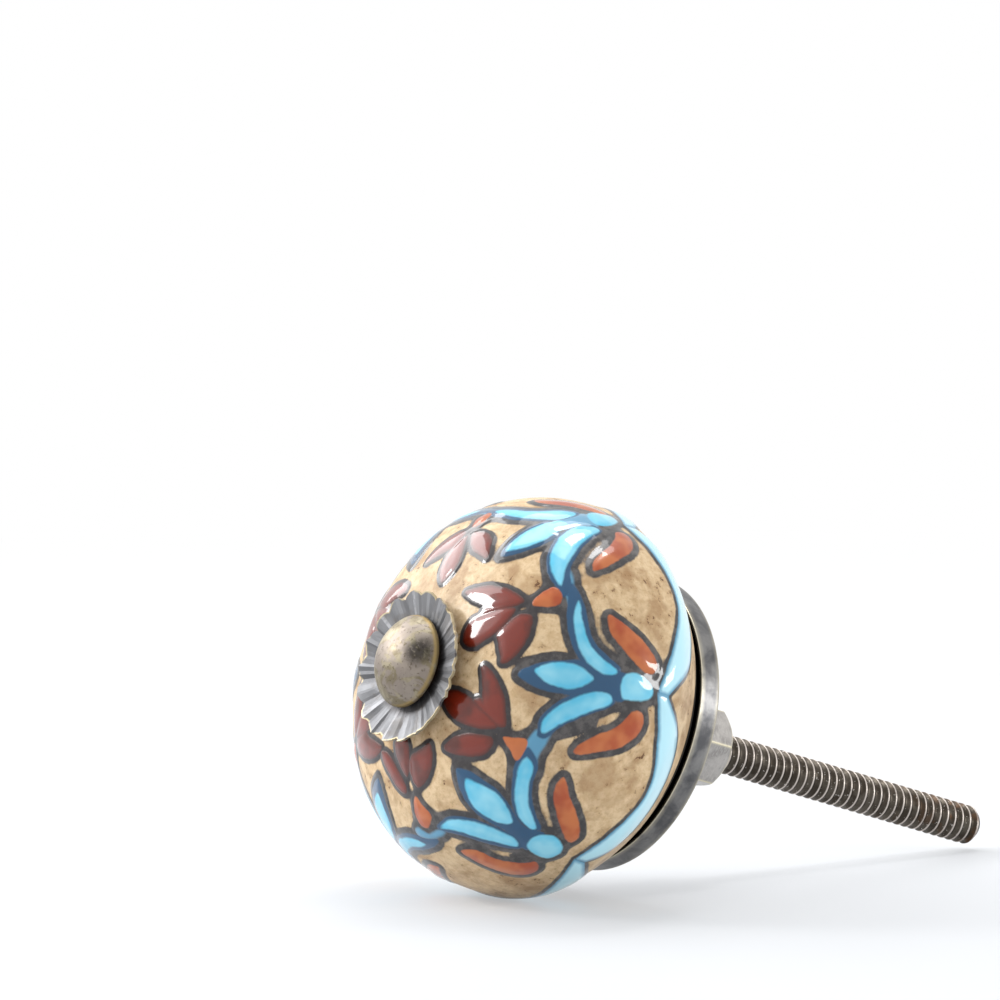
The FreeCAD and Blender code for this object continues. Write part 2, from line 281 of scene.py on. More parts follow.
lotusLow = {
    "light": [
        [(-0.4, 7.2), (-1.1, 6.3), (-1.5, 5.0), (-1.2, 3.5), (-0.6, 2.2), (0.1, 1.5), (0.6, 1.6),
         (1.3, 2.9), (1.7, 4.4), (1.2, 5.7), (0.6, 6.6), (0.1, 7.2)],
        [(-1.2, -1.6), (-0.6, -1.1), (0.5, -1.1), (1.4, -1.8), (1.8, -2.8), (1.2, -4.0), (0.3, -4.5),
         (-0.7, -4.3), (-1.3, -3.6), (-1.4, -2.5)],
        [(1.0, -0.3), (1.1, 0.8), (1.7, 2.0), (2.8, 3.2), (4.2, 4.2), (5.5, 4.8), (6.6, 4.7), (6.3, 3.6),
         (5.0, 3.0), (3.8, 2.2), (2.8, 1.2), (2.1, 0.0), (1.5, -0.7)],
        [(-6.9, 5.4), (-5.5, 5.6), (-4.2, 5.2), (-3.0, 4.3), (-2.0, 3.0), (-1.2, 1.3), (-1.0, 0.0),
         (-1.6, -0.7), (-2.3, 0.1), (-3.0, 1.3), (-3.8, 2.4), (-4.8, 3.7), (-5.9, 4.8)],
    ],
    "deep": [
        [(-0.5, 8.4), (-1.3, 7.3), (-1.8, 5.6), (-1.7, 3.8), (-1.1, 2.0), (-1.0, 0.6), (-1.3, -0.6),
         (-1.3, -1.8), (1.4, -1.8), (1.0, -0.4), (1.0, 1.2), (1.5, 2.6), (1.95, 4.4), (1.6, 5.9),
         (0.9, 7.3), (0.1, 8.2)],
        [(0.9, -0.4), (1.0, 1.0), (1.6, 2.3), (2.8, 3.6), (4.2, 4.6), (5.6, 5.2), (7.2, 5.3), (7.2, 4.1),
         (6.4, 3.2), (5.1, 2.7), (3.9, 1.8), (2.9, 0.7), (2.2, -0.5), (1.6, -1.1)],
        [(-7.2, 5.6), (-5.5, 5.85), (-4.1, 5.5), (-2.8, 4.5), (-1.8, 3.0), (-1.0, 1.3), (-0.9, -0.3),
         (-1.6, -1.1), (-2.4, -0.4), (-3.2, 0.7), (-4.1, 2.1), (-5.2, 3.5), (-6.3, 4.6)],
    ],
    "middle": [[(6.2, 4.9), (7.4, 5.6), (8.8, 5.8), (9.4, 5.0), (8.6, 4.3), (7.4, 4.1), (6.4, 4.0)]],
    "orange": [
        [(7.4, 0.85), (6.3, 0.9), (5.2, 0.2), (4.2, -0.9), (3.0, -2.4), (1.9, -3.9), (2.0, -4.6),
         (3.0, -4.6), (4.3, -3.6), (5.4, -2.2), (6.4, -0.7), (7.1, 0.1)],
        [(-7.2, 2.4), (-6.2, 2.2), (-5.2, 1.2), (-4.8, -0.2), (-3.9, -1.7), (-2.9, -2.8), (-2.3, -3.3),
         (-2.7, -4.0), (-3.7, -4.2), (-4.9, -3.6), (-5.9, -2.2), (-6.5, -0.5), (-7.0, 1.3)],
    ],
    "dark": [
        [(-2.4, -0.3), (-1.6, -1.4), (-1.5, -2.6), (-1.9, -3.2), (-2.8, -2.6), (-3.7, -1.5), (-3.4, -0.9),
         (-2.8, -0.9)],
        [(1.9, -1.0), (2.4, -1.8), (2.1, -3.0), (1.9, -1.8)],
    ],
}
lotusTop = {
    "light": [
        [(-0.1, 6.8), (-1.0, 5.8), (-1.5, 4.5), (-1.5, 3.2), (-1.1, 1.9), (-0.6, 0.4), (0.7, 0.6),
         (1.0, 2.4), (0.9, 4.4), (0.5, 6.0)],
        [(-0.9, -2.6), (0.0, -2.2), (1.0, -2.4), (1.8, -3.0), (2.0, -4.2), (1.6, -5.5), (0.6, -5.7),
         (-0.4, -4.9), (-1.0, -3.8)],
        [(1.0, -1.0), (1.0, 0.6), (1.5, 1.7), (2.6, 2.9), (4.2, 3.8), (6.2, 4.3), (7.6, 4.1), (6.0, 3.1),
         (4.4, 2.3), (3.3, 1.0), (2.5, -0.7), (1.7, -1.6)],
        [(-7.6, 4.5), (-5.8, 4.6), (-4.2, 4.1), (-2.7, 2.9), (-1.6, 1.5), (-0.9, -0.4), (-1.2, -2.0),
         (-2.0, -2.4), (-2.9, -0.9), (-3.8, 0.6), (-5.0, 2.1), (-6.4, 3.5)],
    ],
    "deep": [
        [(-0.2, 7.4), (-1.3, 6.2), (-1.9, 4.5), (-1.9, 3.0), (-1.3, 1.6), (1.1, 1.6), (1.35, 3.0),
         (1.2, 4.6), (0.7, 6.3)],
        [(0.9, -1.2), (0.9, 0.8), (1.4, 2.0), (2.5, 3.25), (4.1, 4.2), (6.2, 4.75), (8.2, 4.9), (9.0, 4.0),
         (7.8, 3.6), (6.1, 2.7), (4.6, 1.9), (3.6, 0.7), (2.8, -1.0), (1.8, -2.0)],
        [(-8.6, 4.8), (-7.6, 4.9), (-5.8, 4.95), (-4.1, 4.4), (-2.5, 3.1), (-1.4, 1.7), (-0.8, -0.4),
         (-1.1, -2.2), (-2.0, -2.7), (-3.2, -0.9), (-4.1, 0.5), (-5.3, 1.9), (-6.7, 3.1), (-8.4, 3.8)],
    ],
    "middle": [[(-0.9, 1.2), (-1.1, -0.8), (-1.3, -2.6), (1.2, -2.8), (1.6, -1.6), (1.0, 0.2), (0.8, 1.4)]],
    "orange": [
        sideLeaf,
        [(-7.3, 0.8), (-6.3, 0.4), (-5.3, -0.9), (-4.4, -2.2), (-3.1, -3.5), (-2.0, -4.2), (-2.0, -5.2),
         (-3.2, -5.4), (-4.8, -4.6), (-6.0, -2.9), (-6.9, -1.0)],
    ],
}

plainLobe = [
    (0.9, -0.9), (2.1, -0.1), (3.2, 0.8), (4.4, 1.5), (4.6, 0.4), (4.0, -1.2), (2.9, -2.7), (1.6, -3.7),
    (0.6, -3.9), (0.3, -3.0),
]
petalLink = [
    (-4.0, -8.0), (-2.0, -7.4), (0, -7.2), (2.0, -7.4), (4.0, -8.0), (2.0, -8.3), (0, -8.2), (-2.0, -8.3),
]
plainTrefoil = {
    "rust": [
        [(0, 3.9), (-1.1, 2.9), (-1.6, 1.2), (-1.3, -0.8), (-0.6, -2.4), (0, -3.3), (0.6, -2.4),
         (1.3, -0.8), (1.6, 1.2), (1.1, 2.9)],
        plainLobe,
        mirrored(plainLobe),
    ],
    "orange": [
        [(0, -4.5), (0.7, -5.4), (1.1, -6.4), (0.6, -6.9), (-0.6, -6.9), (-1.1, -6.4), (-0.7, -5.4)],
    ],
    "middle": [petalLink],
}
trefoilOne = {
    "rust": [
        [(-0.9, 3.4), (-1.8, 3.0), (-2.3, 2.0), (-2.2, 0.7), (-1.9, -0.6), (-1.3, -1.9), (-0.4, -3.0),
         (0.2, -2.4), (0.6, -1.0), (0.7, 0.6), (0.8, 1.8), (0.2, 2.9)],
        [(0.7, -0.5), (2.0, 0.7), (3.1, 1.7), (4.3, 2.4), (4.1, 0.9), (3.5, -0.8), (2.4, -2.4), (1.1, -3.6),
         (0.2, -4.0), (0.0, -3.0), (0.3, -1.6)],
        [(0.0, -3.4), (0.2, -1.6), (0.4, -0.2), (0.75, 0.9), (1.3, 0.2), (1.0, -1.2), (0.7, -3.2)],
        [(-5.2, -0.2), (-4.4, -0.4), (-3.2, -0.5), (-2.1, -0.6), (-1.5, -1.9), (-1.0, -3.3), (-1.5, -4.4),
         (-2.6, -4.3), (-4.0, -3.4), (-5.0, -2.1), (-5.4, -1.0)],
    ],
    "orange": [
        [(-0.4, -4.7), (0.2, -5.1), (0.8, -6.2), (1.0, -6.9), (0.2, -7.4), (-1.0, -7.2), (-1.1, -6.3),
         (-0.8, -5.4)],
    ],
    "middle": [
        [(-4.0, -8.3), (-2.0, -7.8), (0, -7.7), (2.0, -7.7), (4.0, -8.0), (2.0, -8.5), (0, -8.5),
         (-2.0, -8.6)],
    ],
    "dark": [[(-1.2, -4.7), (-0.7, -5.2), (-1.1, -6.2), (-1.5, -7.4), (-2.4, -7.5), (-1.9, -6.2)]],
}
trefoilTwo = {
    "rust": [
        [(-0.5, 4.3), (-1.3, 3.3), (-1.7, 1.6), (-1.5, 0.0), (-1.0, -1.6), (-0.2, -3.0), (0.4, -3.2),
         (0.8, -1.8), (0.95, 0.0), (1.0, 1.4), (0.8, 2.8), (0.2, 3.9)],
        [(0.8, -0.8), (2.1, 0.0), (3.2, 0.9), (4.1, 1.7), (4.5, 1.0), (4.1, -0.6), (3.0, -2.4), (1.8, -3.4),
         (0.7, -4.0), (0.2, -3.2), (0.4, -1.8)],
        [(0.3, -3.6), (0.4, -1.6), (0.7, 0.0), (1.0, 0.6), (1.6, -0.1), (1.4, -1.6), (0.9, -3.4)],
        [(-4.8, 1.4), (-3.9, 1.1), (-2.9, 0.4), (-2.0, -0.7), (-1.3, -2.2), (-1.0, -3.2), (-1.6, -3.7),
         (-2.7, -3.4), (-3.7, -2.3), (-4.5, -0.8), (-4.9, 0.5)],
    ],
    "orange": [
        [(-0.4, -4.3), (0.1, -5.2), (0.6, -6.2), (0.1, -6.6), (-0.9, -6.6), (-1.7, -6.3), (-1.2, -5.5)],
    ],
    "middle": [
        [(-4.4, -7.6), (-2.4, -7.1), (-0.6, -6.9), (0.6, -7.1), (2.2, -7.3), (2.2, -7.9), (0, -7.9),
         (-2.0, -8.1)],
    ],
}
trefoilThree = {
    "rust": [
        [(-0.6, 2.6), (-1.6, 2.7), (-2.5, 2.2), (-2.3, 0.9), (-1.5, -0.5), (-0.7, -1.2), (-0.2, 0.0),
         (-0.1, 1.6)],
        [(0.1, 0.9), (1.6, 1.4), (3.0, 2.0), (3.4, 0.9), (3.0, -0.6), (2.0, -1.8), (0.8, -2.3), (0.1, -1.6),
         (-0.1, -0.3)],
        [(-0.2, -0.8), (-0.3, 0.2), (0.2, 0.6), (0.5, 0.2), (0.3, -1.4)],
        [(-5.1, 1.4), (-4.0, 1.3), (-3.0, 0.5), (-2.1, -0.6), (-1.3, -1.7), (-1.1, -2.6), (-1.8, -2.8),
         (-2.9, -2.1), (-3.9, -0.9), (-4.8, 0.3)],
    ],
    "orange": [
        [(0.0, -3.2), (0.7, -4.0), (1.6, -5.0), (1.0, -5.9), (0.0, -6.3), (-0.7, -5.8), (-0.7, -4.5)],
    ],
    "middle": [
        [(-2.0, -6.6), (-1.2, -6.2), (0.0, -6.9), (1.4, -6.6), (2.6, -6.6), (2.0, -7.1), (0, -7.5),
         (-1.6, -7.3)],
    ],
}
trefoilNought = {
    "rust": [
        [(-0.3, 1.6), (-1.2, 0.6), (-1.6, -0.8), (-1.2, -2.4), (-0.3, -4.0), (0.5, -3.0), (1.0, -1.4),
         (0.8, 0.3)],
        [(0.6, -2.6), (1.8, -1.8), (3.0, -1.1), (4.2, -0.8), (3.8, -2.4), (2.6, -3.9), (1.2, -4.7),
         (0.3, -4.3)],
        [(-5.2, -1.5), (-3.8, -1.8), (-2.6, -2.3), (-1.4, -3.3), (-0.8, -4.4), (-1.8, -4.7), (-3.2, -4.4),
         (-4.4, -3.5)],
    ],
    "orange": [[(0, -5.2), (0.8, -6.4), (0.3, -7.4), (-0.6, -7.2), (-0.8, -6.0)]],
    "middle": [petalLink],
}

# each motif with its angle round the axis, from +X towards -Z
lotuses = [
    (-70.0, lotusTop),
    (-11.0, lotusSide),
    (44.5, lotusLow),
    (108.0, plainLotus),
    (168.0, plainLotus),
    (228.0, plainLotus),
]
trefoils = [
    (-99.0, trefoilNought),
    (-39.5, trefoilOne),
    (17.5, trefoilTwo),
    (78.0, trefoilThree),
    (138.0, plainTrefoil),
    (198.0, plainTrefoil),
]


class Wire:
    # a socket that can be added, multiplied and compared like a number
    def __init__(self, nodes, socket):
        self.nodes = nodes
        self.socket = socket

    def maths(self, operation, *others):
        inputs = dict(enumerate((self,) + others))
        return self.nodes.node("ShaderNodeMath", {"operation": operation}, inputs)

    def __add__(self, other):
        return self.maths("ADD", other)

    def __radd__(self, other):
        return self.maths("ADD", other)

    def __sub__(self, other):
        return self.maths("SUBTRACT", other)

    def __rsub__(self, other):
        return self.maths("MULTIPLY_ADD", -1.0, other)

    def __mul__(self, other):
        return self.maths("MULTIPLY", other)

    def __rmul__(self, other):
        return self.maths("MULTIPLY", other)

    def least(self, other):
        return self.maths("MINIMUM", other)

    def most(self, other):
        return self.maths("MAXIMUM", other)

    def ramp(self, low, high, least=0.0):
        # least at low and 1 at high, smooth between them, and low may be the larger
        settings = {"interpolation_type": "SMOOTHSTEP"}
        values = {"Value": self, "From Min": low, "From Max": high, "To Min": least}
        return self.nodes.node("ShaderNodeMapRange", settings, values)


class Nodes:
    # the nodes of a material or of the world
    def __init__(self, tree, outputKind):
        self.tree = tree
        self.tree.nodes.clear()
        self.output = self.tree.nodes.new(outputKind)

    def end(self, shader):
        self.feed(self.output.inputs["Surface"], shader)

    def node(self, kind, settings=None, values=None, output=0):
        node = self.tree.nodes.new(kind)
        for key, value in (settings or {}).items():
            setattr(node, key, value)
        for key, value in (values or {}).items():
            self.feed(node.inputs[key], value)
        return Wire(self, node.outputs[output])

    def feed(self, socket, value):
        if isinstance(value, Wire):
            self.tree.links.new(value.socket, socket)
        else:
            socket.default_value = value

    def attribute(self, name):
        return self.node("ShaderNodeAttribute", {"attribute_name": name}, output="Fac")

    def place(self):
        return self.node("ShaderNodeTexCoord", output="Object")

    def noise(self, size, detail=3.0, roughness=0.5, distortion=0.0, at=None):
        # size is the width in millimetres of one blotch
        values = {"Vector": at or self.place(), "Scale": 1.0 / (size * mm), "Detail": detail}
        values.update({"Roughness": roughness, "Distortion": distortion})
        return self.node("ShaderNodeTexNoise", None, values, output="Fac")

    def stretched(self, scale):
        values = {0: self.place(), 1: scale}
        return self.node("ShaderNodeVectorMath", {"operation": "MULTIPLY"}, values)

    def mix(self, factor, first, second):
        values = {"Factor": factor, 6: self.colour(first), 7: self.colour(second)}
        return self.node("ShaderNodeMix", {"data_type": "RGBA"}, values, output=2)

    def mixShaders(self, factor, first, second):
        return self.node("ShaderNodeMixShader", None, {0: factor, 1: first, 2: second})

    def colour(self, value):
        return value if isinstance(value, Wire) else (*value, 1.0)


class Finish(Nodes):
    # a material with one Principled surface
    def __init__(self, name, **constants):
        self.material = bpy.data.materials.new(name)
        self.material.use_nodes = True
        super().__init__(self.material.node_tree, "ShaderNodeOutputMaterial")
        self.surface = self.tree.nodes.new("ShaderNodeBsdfPrincipled")
        self.lit = Wire(self, self.surface.outputs["BSDF"])
        self.end(self.lit)
        for label, value in constants.items():
            self.surface.inputs[label.replace("_", " ")].default_value = value

    def set(self, label, value):
        self.feed(self.surface.inputs[label], value)

    def bump(self, height):
        # height in millimetres
        values = {"Height": height, "Distance": mm, "Strength": 1.0}
        self.set("Normal", self.node("ShaderNodeBump", None, values))


def shade(red, green, blue):
    # a colour as it is seen on a screen, 0 to 255, as Blender's own linear colour
    parts = [value / 255.0 for value in (red, green, blue)]
    return tuple(part / 12.92 if part <= 0.04045 else ((part + 0.055) / 1.055) ** 2.4 for part in parts)


def makePiece(name, points, faces, finish, replaced, sharp, values):
    # points in millimetres, sharp is an angle, values are stored at the points for the finish to read
    mesh = bpy.data.meshes.new(name)
    mesh.from_pydata((np.asarray(points) * mm).tolist(), [], faces)
    for label, numbers in values.items():
        layer = mesh.attributes.new(label, "FLOAT", "POINT")
        layer.data.foreach_set("value", np.ascontiguousarray(numbers, dtype=np.float32))
    mesh.polygons.foreach_set("use_smooth", [True] * len(mesh.polygons))
    mesh.set_sharp_from_angle(angle=math.radians(sharp))
    mesh.materials.append(finish.material)
    piece = bpy.data.objects.new(name, mesh)
    scene.collection.objects.link(piece)
    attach(piece, "root")
    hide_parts(*replaced)
    print("made", name, "with", len(mesh.polygons), "faces")
    return piece


def gridFaces(rows, columns, closedRows=False):
    # quads of a grid of points that closes round its columns
    faces = []
    for row in range(rows if closedRows else rows - 1):
        low, high = row * columns, ((row + 1) % rows) * columns
        for column in range(columns):
            after = (column + 1) % columns
            faces.append((low + column, low + after, high + after, high + column))
    return faces


def smoothStep(values, low, high):
    share = np.clip((values - low) / (high - low), 0, 1)
    return share * share * (3 - 2 * share)


def roundedCorner(corner, before, after, radius, steps):
    # points of a small curve in place of a corner of a profile
    corner, before, after = np.array(corner, float), np.array(before, float), np.array(after, float)
    first = corner + (before - corner) / np.linalg.norm(before - corner) * radius
    last = corner + (after - corner) / np.linalg.norm(after - corner) * radius
    share = np.linspace(0, 1, steps)[:, None]
    return first * (1 - share) ** 2 + corner * 2 * share * (1 - share) + last * share ** 2


# one swag of the vine from cusp to cusp, across and along the axis from the widest place, and how many
# degrees of the knob it is drawn for
vineUpper = [(-10.0, -1.4), (-5.2, 0.1), (0, 1.3), (5.2, 0.1), (10.0, -1.4)]
vineLower = [(10.0, 0.0), (6.2, 3.1), (3.0, 4.2), (0, 4.5), (-3.0, 4.2), (-6.2, 3.1), (-10.0, 0.0)]
vineTurn = 60.0
fieldNames = ("light", "deep", "middle", "rust", "orange", "dark", "vine")


def smoothLeast(first, second, blend):
    # the lesser of two distances, and less again where both are short, so a narrow gap closes
    near = np.clip(blend - np.abs(first - second), 0, None) / blend
    return np.minimum(first, second) - near * near * blend / 4


def paintedFields(points, turns):
    # millimetres from each point of the knob to the nearest stroke of each kind, negative inside
    farOff = ceramic["farOff"]
    fields = {name: np.full(len(points), farOff) for name in fieldNames}

    def paint(name, frame, loop):
        outline = smoothLoop(loop)
        middle = outline.mean(0)
        reach = np.linalg.norm(outline - middle, axis=1).max() + farOff / 2
        origin, side, up, out = frame
        offset = points - (origin + side * middle[0] + up * middle[1])
        near = np.flatnonzero(np.linalg.norm(offset, axis=1) < reach)
        near = near[offset[near] @ out > -farOff]
        flat = np.stack([offset[near] @ side, offset[near] @ up], -1) + middle
        fields[name][near] = np.minimum(fields[name][near], signedDistance(outline, flat))

    for place, motifs in ((ceramic["lotusPlace"], lotuses), (ceramic["trefoilPlace"], trefoils)):
        for turn, strokes in motifs:
            motif = motifFrame(place, turn)
            for name, loops in strokes.items():
                for loop in loops:
                    paint(name, motif, loop)
    cusps = [turn for turn, _ in lotuses]
    outline = np.concatenate([smoothLine(vineUpper), smoothLine(vineLower)])
    vineStart = ceramic["widestAt"] - 4.0
    for first, last in zip(cusps, cusps[1:] + [cusps[0] + 360]):
        # every swag runs from one lotus to the next
        angle = (np.degrees(turns) - first) % 360
        near = np.flatnonzero((angle < last - first) & (points[:, 1] > vineStart))
        sideways = np.radians((angle[near] / (last - first) - 0.5) * vineTurn)
        across = np.hypot(points[near, 0], points[near, 2]) * np.sin(sideways)
        flat = np.stack([across, points[near, 1] - ceramic["widestAt"]], -1)
        fields["vine"][near] = np.minimum(fields["vine"][near], signedDistance(outline, flat))
    return fields


def makeGlazedKnob(finish):
    sides, rings = ceramic["sides"], ceramic["rings"]
    ways = np.repeat(np.linspace(wayToFlat, wayToFoot, rings), sides)
    turns = np.tile(np.arange(sides) * 2 * math.pi / sides, rings)
    points, normals = surfacePoints(ways, turns)
    values = paintedFields(points, turns)
    blue = np.minimum(np.minimum(values["light"], values["deep"]), values["middle"])
    slip = smoothLeast(blue, values["orange"], ceramic["orangeBlend"])
    slip = smoothLeast(slip, values["rust"] + ceramic["rustSlipLess"], ceramic["rustBlend"])
    slip = slip - ceramic["slipWidth"]
    slip = smoothLeast(slip, values["vine"] - ceramic["vineSlipWidth"], ceramic["vineBlend"])
    values["slip"] = np.minimum(slip, values.pop("dark"))
    glaze = np.minimum(np.minimum(blue, values["orange"]), np.minimum(values["rust"], values["vine"]))
    relief = ceramic["slipHeight"] * smoothStep(slip, *ceramic["slipRise"])
    relief = relief + ceramic["glazeHeight"] * smoothStep(glaze, *ceramic["glazeRise"])
    points = points + normals * relief[:, None]
    values["along"] = points[:, 1]
    # the bore closes the flat under the rosette and the foot
    front, foot = points[:sides], points[-sides:]
    boreAt = np.stack([np.cos(turns[:sides]), np.zeros(sides), -np.sin(turns[:sides])], -1) * ceramic["bore"]
    boreFront = boreAt + np.array([0, front[0, 1], 0])
    boreFoot = boreAt + np.array([0, foot[0, 1], 0])
    points = np.concatenate([boreFront, points, boreFoot])
    for name, numbers in values.items():
        bare = np.full(sides, 0.0 if name == "along" else ceramic["farOff"])
        values[name] = np.concatenate([bare, numbers, bare])
    faces = gridFaces(rings + 2, sides, closedRows=True)
    replaced = ("ceramic_knob", "outline_slip", "turquoise_glaze", "rust_glaze", "orange_glaze")
    return makePiece("glazedKnob", points, faces, finish, replaced, 35.0, values)


knobPaint = {
    "clay": shade(207, 177, 136),
    "clayPale": shade(226, 200, 161),
    "clayDark": shade(154, 116, 76),
    "clayStain": shade(88, 54, 34),
    # painted shade of the gap between the clay and the plate
    "paintedGapShade": shade(20, 15, 12),
    "slip": shade(52, 50, 51),
    "slipWarm": shade(44, 38, 40),
    "slipPale": shade(88, 84, 82),
    "deepBlue": shade(10, 72, 110),
    "middleBlue": shade(84, 150, 184),
    "turquoise": shade(84, 193, 227),
    "turquoisePale": shade(156, 224, 242),
    # painted reflection: the vine is painted paler than the turquoise glaze, for the white surroundings it
    # reflects
    "vine": shade(190, 238, 251),
    "rust": shade(118, 32, 10),
    "rustDark": shade(84, 24, 8),
    "orange": shade(168, 66, 8),
    "orangePale": shade(194, 106, 50),
}


def makeKnobFinish():
    finish = Finish("glazedClay", Coat_Roughness=0.05, Specular_IOR_Level=0.18)
    # the brush's edge wavers a little
    wobble = (finish.noise(1.8, 2.0) - 0.5) * 0.3 + (finish.noise(0.5, 1.0) - 0.5) * 0.1
    strokes = ("light", "deep", "middle", "rust", "orange")
    light, deep, middle, rust, orange = [finish.attribute(name) + wobble for name in strokes]
    vine = finish.attribute("vine") + wobble * 0.7
    slip = finish.attribute("slip") + wobble * 1.1
    glaze = light.least(deep).least(middle).least(rust).least(orange).least(vine)

    # bare clay: sponged blotches, a few scorched zones and specks
    mottle = finish.noise(0.8, 4.0, 0.6)
    blotch = finish.noise(2.2, 4.0, 0.56, 0.2)
    grain = finish.noise(0.3, 3.0, 0.6)
    scorched = finish.noise(6.0, 3.0)
    speck = finish.noise(0.8, 3.0, 0.7).ramp(0.61, 0.68)
    clay = finish.mix(mottle.ramp(0.34, 0.68), knobPaint["clayPale"], knobPaint["clay"])
    clay = finish.mix(blotch.ramp(0.44, 0.72) * 0.65, clay, knobPaint["clayDark"])
    clay = finish.mix(scorched.ramp(0.5, 0.66) * 0.5, clay, knobPaint["clayDark"])
    clay = finish.mix(grain.ramp(0.5, 0.8) * 0.35, clay, knobPaint["clayDark"])
    clay = finish.mix(speck * blotch.ramp(0.44, 0.58) * 0.85, clay, knobPaint["clayStain"])
    # painted shade: the clay near the foot, in the gap inside the plate's rim, is painted near-black
    foot = finish.attribute("along") + wobble * 0.3
    gapShade = foot.ramp(-4.1, -3.85)
    clay = finish.mix(gapShade, clay, knobPaint["paintedGapShade"])

    slipTone = finish.noise(1.2, 4.0, 0.65).ramp(0.4, 0.66)
    slipColour = finish.mix(slipTone, knobPaint["slip"], knobPaint["slipPale"])
    slipColour = finish.mix(rust.ramp(1.6, 0.5) * 0.7, slipColour, knobPaint["slipWarm"])
    colour = finish.mix(slip.ramp(0.1, -0.1), clay, slipColour)
    colour = finish.mix(middle.ramp(0.15, -0.25), colour, knobPaint["middleBlue"])
    colour = finish.mix(deep.ramp(0.12, -0.12), colour, knobPaint["deepBlue"])
    pool = finish.noise(2.6, 2.0)
    # the glaze is thicker and paler in the middle of a petal
    thick = light.ramp(-0.15, -1.0) * 0.3 + pool.ramp(0.36, 0.66) * 0.5
    turquoise = finish.mix(thick, knobPaint["turquoise"], knobPaint["turquoisePale"])
    colour = finish.mix(light.ramp(0.1, -0.2), colour, turquoise)
    # the vine's pale colour is a painted reflection of the white surroundings
    vineColour = finish.mix(vine.ramp(0.0, -0.5), knobPaint["middleBlue"], knobPaint["vine"])
    colour = finish.mix(vine.ramp(0.08, -0.08), colour, vineColour)
    rustDepth = rust.ramp(0.0, -0.5) * pool.ramp(0.25, 0.5)
    rustColour = finish.mix(rustDepth, knobPaint["rustDark"], knobPaint["rust"])
    colour = finish.mix(rust.ramp(0.1, -0.1), colour, rustColour)
    orangeColour = finish.mix(pool.ramp(0.35, 0.65), knobPaint["orange"], knobPaint["orangePale"])
    colour = finish.mix(orange.ramp(0.1, -0.1), colour, orangeColour)
    finish.set("Base Color", colour)

    glossy = glaze.ramp(0.05, -0.15)
    dark = slip.ramp(0.05, -0.1)
    bare = 1 - glossy.most(dark)
    finish.set("Roughness", 0.3 + bare * 0.1 + grain * 0.06 + gapShade * 0.4)
    finish.set("Coat Weight", (glossy + dark * 0.6 + 0.12).least(1.0) * (1 - gapShade))

    beads = slip.ramp(0.15, -0.35) * 0.04
    domes = glaze.ramp(0.05, -0.5) * 0.02
    waves = finish.noise(3.2, 1.0) * 0.07 * (glossy + 0.3)
    pits = (grain * 0.03 + finish.noise(0.2, 2.0) * 0.015) * (bare + 0.1)
    finish.bump(beads + domes + waves + pits)
    return finish


glazedKnob = makeGlazedKnob(makeKnobFinish())

# the dome and the thread of the bolt, in millimetres
dome = {
    "radius": 4.68,
    "height": 3.5,
    "rim": 0.38,
    "undercut": 0.55,
    "neck": 4.05,
    "edgeRounding": 0.2,
    "footRounding": 0.12,
    "darkPatchAt": (3.2, 1.3),
    "darkPatchSize": (1.5, 1.8),
    "sides": 144,
}
thread = {
    "major": 2.0,
    "minor": 1.7,
    "pitch": 1.0,
    "start": 9.6,
    "tip": 46.4,
    "tipChamfer": 0.7,
    "shank": 1.75,
    "sides": 72,
    "rustsFrom": 30.0,
    # places across a turn, as shares of the pitch, and how deep the groove is there
    "section": [
        (0.0, 0.0), (0.05, 0.0), (0.11, 0.14), (0.3, 0.82),
        (0.5, 1.0), (0.7, 0.82), (0.89, 0.14), (0.95, 0.0),
    ],
}
boltPaint = {
    "brass": shade(160, 151, 130),
    "brassDark": shade(128, 118, 98),
    "cloud": shade(148, 138, 132),
    "speck": shade(88, 78, 62),
    "darkPatch": shade(40, 38, 38),
    "rim": shade(160, 138, 92),
    "paintedUnderRimShade": shade(58, 40, 26),
    "steel": shade(88, 82, 74),
    "steelDark": shade(64, 58, 51),
    # painted highlight on the crests of the thread
    "crest": shade(204, 194, 186),
    "dust": shade(196, 190, 184),
    "rust": shade(92, 66, 46),
}
rosetteSeat = 0.45
headAt = float(outlineAt(wayToFlat)[1]) - rosetteSeat


def lathe(profile, sides):
    # points of a closed profile, given as radius and height along the axis, turned round Y
    profile = np.asarray(profile, float)
    turns = np.arange(sides) * 2 * math.pi / sides
    radius = profile[:, :1]
    along = profile[:, 1:] + 0 * turns
    return np.stack([radius * np.cos(turns), along, -radius * np.sin(turns)], -1).reshape(-1, 3)


